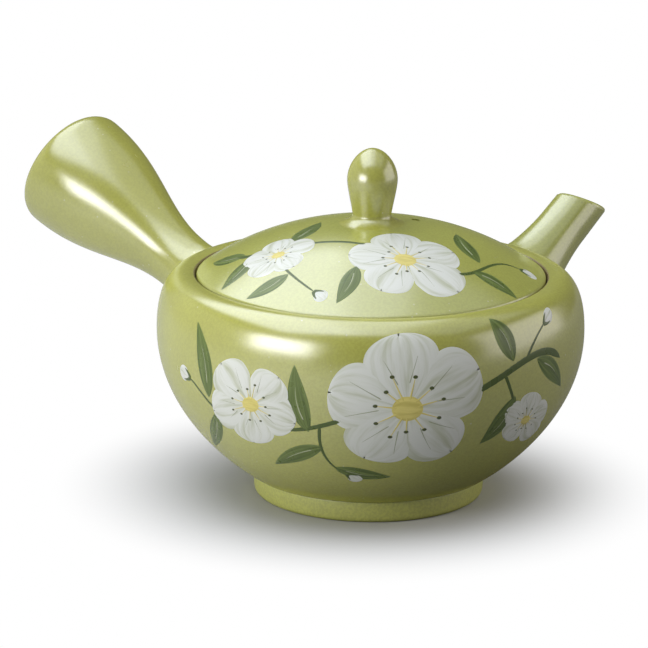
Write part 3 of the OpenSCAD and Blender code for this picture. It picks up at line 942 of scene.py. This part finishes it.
class Spray:
    """Brush strokes sorted by their enamel, before they are wrapped on to the clay."""

    def __init__(self):
        self.strokes = {}
        self.count = 0

    def seed(self):
        """A share from 0 to 1 that differs from stroke to stroke, in golden steps."""
        return (self.count * GOLDEN) % 1

    def sway(self, most):
        """A small swing of the hand, at most as large as given."""
        return most * (2 * self.seed() - 1)

    def add(self, enamel, centre, half_width, lift, dent=0.0):
        """Keeps one stroke under its enamel's name."""
        self.count += 1
        self.strokes.setdefault(enamel, []).append(brush(centre, half_width, lift * MM, self.seed(), dent))

    def petal(self, at, angle, length, width):
        """A rounded petal from near the blossom's middle to a notched tip, with two fine veins."""
        way = np.array([math.cos(angle), math.sin(angle)])
        side = np.array([-way[1], way[0]])
        lean = self.sway(0.08) * length
        bow = at + 0.55 * length * way + lean * side
        tip = at + length * way + 0.6 * lean * side
        centre = bezier_line([at + 0.06 * length * way, bow, tip])
        u = steps_along(centre)
        half = width * MM * egg(u, 0.64) * (0.35 + 0.65 * np.clip(u / 0.4, 0, 1) ** 0.7)
        self.add("white", centre, half, PETAL_LIFT + self.sway(0.012), 0.07 * length * MM)
        for fan in (-0.22, 0.26):
            root = at + 0.34 * length * way + 0.3 * fan * length * side
            end = at + (0.74 + self.sway(0.06)) * length * way + fan * length * side
            self.line("shade", [root, (root + end) / 2 + 0.2 * lean * side, end], 0.010 * length, VEIN_LIFT)

    def blossom(self, at, r, turned, squash=1.0):
        """Five petals round a yellow middle, with fine stamens; squash foreshortens it upright."""
        at = np.asarray(at, float)
        for i in range(PETALS):
            angle = turned + 2 * math.pi * i / PETALS + self.sway(0.07)
            foreshort = math.hypot(math.cos(angle), squash * math.sin(angle))
            seen = math.atan2(squash * math.sin(angle), math.cos(angle))
            width = 0.45 * r * (0.6 + 0.4 / foreshort)
            self.petal(at, seen, r * foreshort * (1 + self.sway(0.07)), width * (1 + self.sway(0.08)))
        self.dab("yellow", at, 0.19 * r, 0.19 * r * squash, MIDDLE_LIFT)
        for i in range(STAMENS):
            angle = turned + 0.3 + 2 * math.pi * i / STAMENS + self.sway(0.1)
            way = np.array([math.cos(angle), squash * math.sin(angle)])
            reach = r * (0.40 + self.sway(0.08))
            self.line("yellow", [at + 0.12 * r * way, at + reach * way], 0.014 * r, MIDDLE_LIFT)
            self.dab("vein", at + reach * way, 0.030 * r, 0.026 * r, MIDDLE_LIFT)

    def dab(self, enamel, at, half_long, half_high, lift):
        """A round touch of the brush."""
        at = np.asarray(at, float)
        centre = bezier_line([at - [half_long, 0], at + [half_long, 0]])
        self.add(enamel, centre, half_high * MM * egg(steps_along(centre), 0.5), lift)

    def line(self, enamel, points, half_width, lift, taper=0.35):
        """A fine line that thins towards its end."""
        centre = bezier_line(points)
        u = steps_along(centre)
        ends = np.clip(np.minimum(u, 1 - u) * 16, 0, 1) ** 0.5
        self.add(enamel, centre, half_width * MM * ends * (1 - (1 - taper) * u), lift)

    def leaf(self, at, tip, width, bow):
        """A pointed leaf with a pale midrib, bowed to one side."""
        at, tip = np.asarray(at, float), np.asarray(tip, float)
        side = np.array([at[1] - tip[1], tip[0] - at[0]]) / np.linalg.norm(tip - at)
        middle = (at + tip) / 2 + bow * side
        centre = bezier_line([at, middle, tip])
        u = steps_along(centre)
        self.add("leaf", centre, width * MM * np.sin(math.pi * u**0.85) ** 0.85, LEAF_LIFT)
        rib_start = 0.8 * at + 0.2 * tip + 0.32 * bow * side
        rib_end = 0.28 * at + 0.72 * tip + 0.40 * bow * side
        self.line("rib", [rib_start, middle + 0.05 * width * side, rib_end], 0.075 * width, PETAL_LIFT)

    def bud(self, at, angle, r):
        """A closed bud: a white egg held by two small dark sepals."""
        at = np.asarray(at, float)
        way = np.array([math.cos(angle), math.sin(angle)])
        side = np.array([-way[1], way[0]])
        centre = bezier_line([at, at + 2 * r * way])
        self.add("white", centre, r * MM * egg(steps_along(centre), 0.5), PETAL_LIFT)
        for sign in (-1, 1):
            tip = at + (0.9 * way + 0.75 * sign * side) * r
            self.line("bark", [at - 0.4 * r * way, at + 0.5 * sign * r * side, tip], 0.28 * r, VEIN_LIFT)

    def lay(self, name, wrap, materials, body):
        """Wraps the strokes on to the clay, one piece for each enamel."""
        for enamel, strokes in self.strokes.items():
            grids = [wrap(flat, height) for flat, height, _ in strokes]
            piece = skin(f"{name}_{enamel}", grids, materials[enamel], marks=[m for _, _, m in strokes])
            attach(piece, body)


def spray_of(twigs, leaves, blossoms, buds):
    """A spray drawn in this order, with its places and lengths in millimetres."""
    spray = Spray()
    for points, half_width, taper in twigs:
        spray.line("bark", points, half_width, TWIG_LIFT, taper)
    for leaf in leaves:
        spray.leaf(*leaf)
    for blossom in blossoms:
        spray.blossom(*blossom)
    for bud in buds:
        spray.bud(*bud)
    return spray


def bowl_spray():
    """The spray on the bowl's front: a branch from the right, three blossoms, buds and leaves."""
    return spray_of(
        twigs=(
            ([(61, 0), (46, 12), (30, -12), (4, -6)], 1.05, 0.75),
            ([(12, -8), (-8, -4), (-18, -24), (-36, -10)], 0.85, 0.6),
            ([(-32, -12), (-44, -20), (-50, -8), (-57, -6)], 0.6, 0.4),
            ([(38, 0), (42, -8), (45, -20)], 0.55, 0.5),
            ([(-13, -13), (-14, -24), (-6, -31)], 0.5, 0.5),
            ([(46, 3), (49, 8), (54, 11)], 0.5, 0.5),
        ),
        leaves=(
            ((50, 2), (63, -9), 2.8, 2.0),
            ((41, 3), (33, 15.5), 2.7, -1.8),
            ((42, -7), (31, -21), 2.9, 2.0),
            ((-16, -15), (-20, 4), 2.8, 2.0),
            ((-12, -20), (-26, -30), 2.9, -2.0),
            ((-9, -28), (6, -32), 2.5, -1.4),
            ((-45, -14), (-51, -31), 2.8, 1.9),
            ((-48, -10), (-53, 10), 2.9, -2.0),
        ),
        blossoms=(((10, -7), 22.0, 0.45, 0.94), ((-33, -9), 14.0, 0.95, 0.92), ((47, -16), 10.0, 0.1, 0.9)),
        buds=(((-57, -6), 2.9, 2.3), ((54, 11), 0.6, 2.1), ((-5, -31.5), -0.7, 2.0)),
    )


def lid_spray():
    """The spray on the lid: a bent twig along its front, two blossoms, buds and leaves."""
    return spray_of(
        twigs=(
            ([(-40, -4), (-30, -24), (-16, -6), (10, -26)], 0.8, 0.6),
            ([(16, -26), (30, -34), (30, -10), (41, -10)], 0.65, 0.4),
            ([(-27, -14), (-24, -28), (-15, -38)], 0.5, 0.5),
        ),
        leaves=(
            ((-34, -11), (-43, -3), 2.5, 1.4),
            ((-32, -14), (-40, -24), 2.6, 1.5),
            ((-22, -12), (-14, 2), 2.7, -1.6),
            ((-22, -29), (-33, -33), 2.5, 1.5),
            ((27, -24), (39, -27), 2.5, 1.5),
            ((29, -18), (23, -2), 2.7, 1.7),
            ((-4, -30), (-9, -43), 2.6, 1.5),
        ),
        blossoms=(((9, -26), 15.8, 0.6, 1.0), ((-25, -18), 9.5, 0.2, 1.0)),
        buds=(((41, -10), 0.4, 2.0), ((-14.5, -38.5), -0.8, 1.9)),
    )


# Operators


class MakeBowl(bpy.types.Operator):
    """Turns the bowl with its shoulder, lid seat and the hole that leads to the spout"""

    bl_idname = "teapot.bowl"
    bl_label = "Bowl"

    def execute(self, context):
        scene = context.scene
        bowl, foot, spout = scene.teapot_bowl, scene.teapot_foot, scene.teapot_spout
        piece = skin("bowl", [spin(bowl_profile(bowl, foot))], clay(context, "bowl_clay_seat_shade"))
        axis = axis_of(spout, bowl)
        through = bowl.belly_r / math.cos(spout.tilt)
        start, end = (axis.origin + axis.along * (through + d) for d in (-DRILL_REACH, DRILL_REACH))
        drill(piece, start, end, spout.bore_r + spout.hole_gap)
        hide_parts("pot_body")
        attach(piece, "pot")
        return {"FINISHED"}


class MakeFoot(bpy.types.Operator):
    """Turns the foot ring"""

    bl_idname = "teapot.foot"
    bl_label = "Foot ring"

    def execute(self, context):
        foot = context.scene.teapot_foot
        piece = skin("foot", [spin(foot_profile(foot))], clay(context, "bare_clay"), looped=True)
        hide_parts("foot_ring")
        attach(piece, "pot")
        return {"FINISHED"}


class MakeSpout(bpy.types.Operator):
    """Makes the spout and blends its root into the bowl"""

    bl_idname = "teapot.spout"
    bl_label = "Spout"

    def execute(self, context):
        scene = context.scene
        bowl, foot, spout = scene.teapot_bowl, scene.teapot_foot, scene.teapot_spout
        grid = spout_grid(spout, bowl, bowl_outside(bowl, foot))
        piece = skin("spout_skin", [grid], clay(context, "lid_clay"), looped=True)
        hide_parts("spout")
        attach(piece, "pot")
        return {"FINISHED"}


class MakeHandle(bpy.types.Operator):
    """Makes the hollow handle and blends its root into the bowl"""

    bl_idname = "teapot.handle"
    bl_label = "Handle"

    def execute(self, context):
        scene = context.scene
        bowl, foot, handle = scene.teapot_bowl, scene.teapot_foot, scene.teapot_handle
        grid = handle_grid(handle, bowl, bowl_outside(bowl, foot))
        piece = skin("handle_skin", [grid], clay(context, "satin_clay"), looped=True)
        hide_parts("handle")
        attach(piece, "pot")
        return {"FINISHED"}


class FinishStrainer(bpy.types.Operator):
    """Gives the pierced strainer inside the bowl its clay"""

    bl_idname = "teapot.strainer"
    bl_label = "Strainer"

    def execute(self, context):
        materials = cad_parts["strainer"].data.materials
        materials.clear()
        materials.append(clay(context, "satin_clay"))
        return {"FINISHED"}


class MakeLid(bpy.types.Operator):
    """Turns the lid with its flange and bores its steam hole"""

    bl_idname = "teapot.lid"
    bl_label = "Lid"

    def execute(self, context):
        lid = context.scene.teapot_lid
        profile = lid_profile(lid, seat_height(context.scene.teapot_bowl))
        piece = skin("lid_skin", [spin(profile)], clay(context, "lid_clay"))
        across, back = lid.vent_at * math.cos(lid.vent_turn), lid.vent_at * math.sin(lid.vent_turn)
        drill(piece, (across, back, lid.flange_low), (across, back, lid.top + MM), lid.vent_r)
        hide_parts("lid")
        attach(piece, "lid")
        return {"FINISHED"}


class MakeKnob(bpy.types.Operator):
    """Turns the egg-shaped knob on the lid"""

    bl_idname = "teapot.knob"
    bl_label = "Knob"

    def execute(self, context):
        profile = knob_profile(context.scene.teapot_knob, context.scene.teapot_lid)
        piece = skin("knob_skin", [spin(profile, LIMB_COLUMNS)], clay(context, "satin_clay"))
        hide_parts("knob")
        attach(piece, "lid")
        return {"FINISHED"}


class PaintBowl(bpy.types.Operator):
    """Paints the spray of blossom on the bowl's front"""

    bl_idname = "teapot.bowl_painting"
    bl_label = "Bowl painting"

    def execute(self, context):
        wrap = on_bowl(context.scene.teapot_bowl, context.scene.teapot_foot)
        bowl_spray().lay("bowl", wrap, paints(context), "pot")
        return {"FINISHED"}


class PaintLid(bpy.types.Operator):
    """Paints the spray of blossom on the lid"""

    bl_idname = "teapot.lid_painting"
    bl_label = "Lid painting"

    def execute(self, context):
        lid_spray().lay("lid", on_lid(context.scene.teapot_lid), paints(context), "lid")
        return {"FINISHED"}


Softbox = namedtuple("Softbox", "name left near high wide deep glow tint level")

COOL, PLAIN, WARM = (0.95, 1.0, 1.08), (1.0, 1.0, 1.0), (1.05, 1.0, 0.96)
# Softboxes by their place in metres as the camera sees it: left of the pot, nearer than it and above the
# table; their face's two sides in metres; their watts for each square metre of face; their tint; and whether
# they hang level overhead or face the pot
SOFTBOXES = (
    Softbox("key_lamp", 0.220, 0.220, 0.122, 0.18, 0.10, 22, PLAIN, False),
    Softbox("left_panel", 0.56, -0.25, 1.0, 0.88, 2.0, 8.2, COOL, True),
    Softbox("top_panel", -0.04, -0.12, 1.0, 0.32, 1.75, 4.8, COOL, True),
    Softbox("right_panel", -0.55, 0.0, 1.0, 0.70, 1.4, 1.5, COOL, True),
    Softbox("left_wall", 1.1, -0.3, 0.35, 2.2, 0.7, 1.3, PLAIN, False),
    Softbox("right_wall", -1.0, -0.04, 0.30, 1.2, 0.7, 4.4, WARM, False),
)


def look_at(obj, here, there):
    """Sets an object at a point, with its -Z axis towards another and its Y axis as upright as can be."""
    there, here = np.asarray(there, float), np.asarray(here, float)
    back = (here - there) / np.linalg.norm(here - there)
    right = np.cross(UP_WAY, back)
    right /= np.linalg.norm(right)
    set_axes(obj, here, right, np.cross(back, right), back)


def set_axes(obj, here, right, up, back):
    """Sets an object's place and its three axes."""
    matrix = np.eye(4)
    matrix[:3] = np.stack([right, up, back, here], 1)
    obj.matrix_world = Matrix(matrix.tolist())


# Half the floor's side in metres, and the distances between which its shadow turns to plain white
FLOOR_HALF = 4.0
SHADOW_START, SHADOW_END = 35 * MM, 87 * MM
# Middle of that ring, a little to the left of the pot and behind it
SHADOW_MIDDLE = 2 * MM * LEFT_WAY - 3 * MM * NEAR_WAY
# Greys of the floor on the right and on the left: as it lights the pot, and as the picture shows it, where
# its shadow is painted lighter on the right and darker on the left
PAPER_RIGHT, PAPER_LEFT = (0.20, 0.20, 0.20), (0.55, 0.55, 0.55)
SHADE_RIGHT, SHADE_LEFT = (0.70, 0.70, 0.70), (0.40, 0.40, 0.40)
# How much of the white floor the clay mirrors, far to the right and on the left
SHEEN_RIGHT, SHEEN_LEFT = 0.30, 0.04
# Metres to the left between which each of the three changes
PAPER_SPAN, SHADE_SPAN, SHEEN_SPAN = (-0.05, 0.06), (-0.04, 0.06), (-0.6, -0.05)


def floor_finish():
    """Pale floor that keeps the shadow near the pot and turns to plain white farther out.

    The clay mirrors it dimly on the left and more brightly far to the right. Its bounce lights the pot from
    the left, and as the camera sees it, its shadow is painted lighter on the right and darker on the left.
    """
    made = Finish("floor")
    where = made.node("TexCoord").outputs["Object"]
    left = made.measure("DOT_PRODUCT", where, tuple(LEFT_WAY))
    far = made.measure("DISTANCE", where, tuple(SHADOW_MIDDLE))
    rays = made.node("LightPath").outputs
    mirrored = made.maths("MAXIMUM", rays["Is Glossy Ray"], rays["Is Transmission Ray"])
    sheen = made.span(left, *SHEEN_SPAN, SHEEN_RIGHT, SHEEN_LEFT)
    mirrored = made.maths("MULTIPLY", mirrored, sheen)
    seen = made.maths("MAXIMUM", rays["Is Camera Ray"], mirrored)
    white = made.maths("MULTIPLY", made.span(far, SHADOW_START, SHADOW_END), seen)
    paper = made.mix(made.span(left, *PAPER_SPAN), PAPER_RIGHT, PAPER_LEFT)
    shown = made.mix(made.span(left, *SHADE_SPAN), SHADE_RIGHT, SHADE_LEFT)
    shade = made.mix(rays["Is Camera Ray"], paper, shown)
    pale = made.node("BsdfDiffuse", Color=shade)
    glow = made.node("Emission", Color=(1, 1, 1, 1), Strength=1.0)
    mixed = made.node("MixShader", i0=white, i1=pale.outputs[0], i2=glow.outputs[0])
    made.node("OutputMaterial", Surface=mixed.outputs[0])
    return made.material


class MakeStage(bpy.types.Operator):
    """Sets the floor, the softboxes and the camera"""

    bl_idname = "teapot.stage"
    bl_label = "Stage"

    def execute(self, context):
        stage = context.scene.teapot_stage
        self.lay_floor()
        self.set_lamps(context, stage)
        self.set_camera(context, stage)
        context.scene.view_settings.view_transform = "Standard"
        return {"FINISHED"}

    def lay_floor(self):
        """One large square on the table's level."""
        corners = [(x * FLOOR_HALF, y * FLOOR_HALF, 0) for x, y in ((-1, -1), (1, -1), (1, 1), (-1, 1))]
        mesh = bpy.data.meshes.new("floor")
        mesh.from_pydata(corners, [], [(0, 1, 2, 3)])
        mesh.materials.append(floor_finish())
        floor = bpy.data.objects.new("floor", mesh)
        bpy.context.scene.collection.objects.link(floor)

    def set_lamps(self, context, stage):
        """Hangs the softboxes and sets the even light."""
        target = np.array([0, 0, stage.target_z])
        for box in SOFTBOXES:
            data = bpy.data.lights.new(box.name, "AREA")
            data.shape = "RECTANGLE"
            data.size, data.size_y = box.wide, box.deep
            data.energy = box.glow * box.wide * box.deep
            data.color = box.tint
            lamp = bpy.data.objects.new(box.name, data)
            context.scene.collection.objects.link(lamp)
            here = box.left * LEFT_WAY + box.near * NEAR_WAY + box.high * UP_WAY
            if box.level:
                set_axes(lamp, here, -LEFT_WAY, -NEAR_WAY, UP_WAY)
            else:
                look_at(lamp, here, target)
        world = bpy.data.worlds.new("studio")
        world.use_nodes = True
        even = world.node_tree.nodes["Background"]
        even.inputs["Color"].default_value = (1, 1, 1, 1)
        even.inputs["Strength"].default_value = stage.ambient
        context.scene.world = world

    def set_camera(self, context, stage):
        """Sets the camera by its turn, height and roll, and points it a little past the target."""
        a, e = stage.azimuth, stage.elevation
        back = np.array([-math.sin(a) * math.cos(e), -math.cos(a) * math.cos(e), math.sin(e)])
        here = np.array([0, 0, stage.target_z]) + stage.distance * back
        right = np.array([math.cos(a), -math.sin(a), 0])
        up = np.cross(back, right)
        right, up = (
            right * math.cos(stage.roll) + up * math.sin(stage.roll),
            up * math.cos(stage.roll) - right * math.sin(stage.roll),
        )
        back = back + (right * stage.aside - up * stage.below) / stage.focal
        back /= np.linalg.norm(back)
        right -= np.dot(right, back) * back
        right /= np.linalg.norm(right)
        data = bpy.data.cameras.new("camera")
        data.sensor_width = SENSOR
        data.lens = stage.focal * SENSOR / PICTURE
        camera = bpy.data.objects.new("camera", data)
        context.scene.collection.objects.link(camera)
        set_axes(camera, here, right, np.cross(back, right), back)
        context.scene.camera = camera


STEPS = (
    MakeBowl,
    MakeFoot,
    MakeSpout,
    MakeHandle,
    FinishStrainer,
    MakeLid,
    MakeKnob,
    PaintBowl,
    PaintLid,
    MakeStage,
)


class TeapotPanel(bpy.types.Panel):
    """Lists the steps that dress the teapot"""

    bl_idname = "VIEW3D_PT_teapot"
    bl_label = "Teapot"
    bl_space_type = "VIEW_3D"
    bl_region_type = "UI"
    bl_category = "Teapot"

    def draw(self, context):
        for step in STEPS:
            self.layout.operator(step.bl_idname)


def register():
    """Makes the settings, the steps and the panel known."""
    for group in GROUPS.values():
        bpy.utils.register_class(group)
    for name, group in GROUPS.items():
        setattr(bpy.types.Scene, name, bpy.props.PointerProperty(type=group))
    for cls in (*STEPS, TeapotPanel):
        bpy.utils.register_class(cls)


def unregister():
    """Takes them out again, in the opposite order."""
    for cls in (TeapotPanel, *reversed(STEPS)):
        bpy.utils.unregister_class(cls)
    for name in GROUPS:
        delattr(bpy.types.Scene, name)
    for group in reversed(GROUPS.values()):
        bpy.utils.unregister_class(group)


def main():
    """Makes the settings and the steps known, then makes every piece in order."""
    register()
    for step in STEPS:
        group, name = step.bl_idname.split(".")
        getattr(getattr(bpy.ops, group), name)()


if __name__ == "__main__":
    main()
